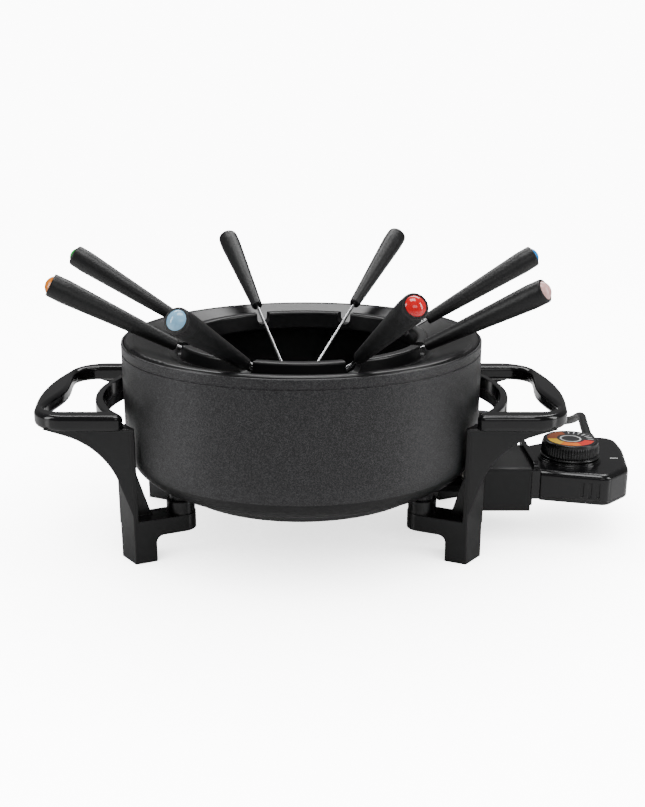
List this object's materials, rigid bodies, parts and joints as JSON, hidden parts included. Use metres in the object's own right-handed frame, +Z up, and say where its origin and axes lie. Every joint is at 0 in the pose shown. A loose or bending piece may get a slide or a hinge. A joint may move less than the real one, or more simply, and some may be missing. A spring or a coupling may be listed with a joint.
{
  "type": "electric fondue set",
  "caption": "Electric fondue pot on two handle frames with a fork ring, colour-tipped forks, a plug-in thermostat with a round dial and a mains lead.",
  "frame": {"origin": "on the table, under the middle of the set's bounding box without its mains lead; the pot's own axis stands 24.6 mm to its left", "axes": "+X along the handles towards the thermostat, +Y away from the front, +Z up"},
  "size_m": [0.3782, 0.4003, 0.176],
  "materials": {
    "pot_coating": "fine sparkling dark grey outside, satin black non-stick inside",
    "base_metal": "dark heat-proof paint",
    "element_steel": "satin",
    "contact_steel": "satin",
    "ceramic": "glazed ceramic",
    "socket_black": "matt",
    "screw_steel": "plated",
    "handle_black": "glossy moulded phenolic",
    "ring_coating": "satin black",
    "fork_grip_black": "fine grained",
    "fork_steel": "polished",
    "case_black": "semi-gloss",
    "contact_brass": "plain",
    "probe_steel": "satin",
    "switch_tan": "moulded",
    "strip_brass": "plain",
    "mark_white": "printed",
    "knob_black": "satin, ribbed",
    "dial_face": "black with white marks and coloured heat bands",
    "spindle_steel": "plain",
    "cord_black": "satin",
    "plug_black": "moulded",
    "plug_pin_steel": "plated",
    "cap_blue": "glossy",
    "cap_yellow": "glossy",
    "cap_white": "glossy",
    "cap_green": "glossy",
    "cap_orange": "glossy",
    "cap_light_blue": "glossy",
    "cap_red": "glossy",
    "cap_pink": "glossy"
  },
  "bodies": {
    "pot": {"pot_body": "pot_coating", "base_plate": "base_metal", "heating_element": "element_steel", "terminal_pins": "contact_steel", "pin_beads": "ceramic", "earth_pin": "contact_steel", "probe_well": "base_metal", "socket_housing": "socket_black", "socket_screws": "screw_steel", "left_handle_frame": "handle_black", "right_handle_frame": "handle_black", "left_frame_screws": "screw_steel", "right_frame_screws": "screw_steel"},
    "ring": {"fork_ring": "ring_coating"},
    "blue_fork": {"blue_fork_handle": "fork_grip_black", "blue_fork_shaft": "fork_steel", "blue_fork_cap": "cap_blue"},
    "yellow_fork": {"yellow_fork_handle": "fork_grip_black", "yellow_fork_shaft": "fork_steel", "yellow_fork_cap": "cap_yellow"},
    "white_fork": {"white_fork_handle": "fork_grip_black", "white_fork_shaft": "fork_steel", "white_fork_cap": "cap_white"},
    "green_fork": {"green_fork_handle": "fork_grip_black", "green_fork_shaft": "fork_steel", "green_fork_cap": "cap_green"},
    "orange_fork": {"orange_fork_handle": "fork_grip_black", "orange_fork_shaft": "fork_steel", "orange_fork_cap": "cap_orange"},
    "light_blue_fork": {"light_blue_fork_handle": "fork_grip_black", "light_blue_fork_shaft": "fork_steel", "light_blue_fork_cap": "cap_light_blue"},
    "red_fork": {"red_fork_handle": "fork_grip_black", "red_fork_shaft": "fork_steel", "red_fork_cap": "cap_red"},
    "pink_fork": {"pink_fork_handle": "fork_grip_black", "pink_fork_shaft": "fork_steel", "pink_fork_cap": "cap_pink"},
    "thermostat": {"thermostat_nose": "case_black", "contact_sleeves": "contact_brass", "probe": "probe_steel", "thermostat_top": "case_black", "thermostat_bottom": "case_black", "thermostat_screws": "screw_steel", "switch_block": "switch_tan", "bimetal_strip": "strip_brass", "pointer_mark": "mark_white", "strain_relief": "cord_black", "power_cord": "cord_black", "cord_coil": "cord_black", "cord_tail": "cord_black", "plug_body": "plug_black", "plug_pins": "plug_pin_steel"},
    "dial": {"knob": "knob_black", "dial_plate": "dial_face", "knob_spindle": "spindle_steel"}
  },
  "joints": [
    {"name": "ring_lift", "type": "slide", "parent": "pot", "child": "ring", "axis": [0, 0, 1], "range_m": [0, 0.12]},
    {"name": "blue_fork_pull", "type": "slide", "parent": "ring", "child": "blue_fork", "axis": [0.8576, 0.1068, 0.503], "range_m": [0, 0.17]},
    {"name": "yellow_fork_pull", "type": "slide", "parent": "ring", "child": "yellow_fork", "axis": [0.4151, 0.7551, 0.5075], "range_m": [0, 0.17]},
    {"name": "white_fork_pull", "type": "slide", "parent": "ring", "child": "white_fork", "axis": [-0.316, 0.8063, 0.5], "range_m": [0, 0.17]},
    {"name": "green_fork_pull", "type": "slide", "parent": "ring", "child": "green_fork", "axis": [-0.8507, 0.1577, 0.5015], "range_m": [0, 0.17]},
    {"name": "orange_fork_pull", "type": "slide", "parent": "ring", "child": "orange_fork", "axis": [-0.8664, -0.1419, 0.4787], "range_m": [0, 0.17]},
    {"name": "light_blue_fork_pull", "type": "slide", "parent": "ring", "child": "light_blue_fork", "axis": [-0.35, -0.8088, 0.4726], "range_m": [0, 0.17]},
    {"name": "red_fork_pull", "type": "slide", "parent": "ring", "child": "red_fork", "axis": [0.2989, -0.8081, 0.5075], "range_m": [0, 0.17]},
    {"name": "pink_fork_pull", "type": "slide", "parent": "ring", "child": "pink_fork", "axis": [0.7589, -0.4364, 0.4833], "range_m": [0, 0.17]},
    {"name": "thermostat_pull", "type": "slide", "parent": "pot", "child": "thermostat", "axis": [1, 0, 0], "range_m": [0, 0.085]},
    {"name": "knob_turn", "type": "hinge", "parent": "thermostat", "child": "dial", "pos_m": [0.14491, -0.00242, 0.0594], "axis": [0, 0, 1], "range_deg": [-270, 0]}
  ]
}
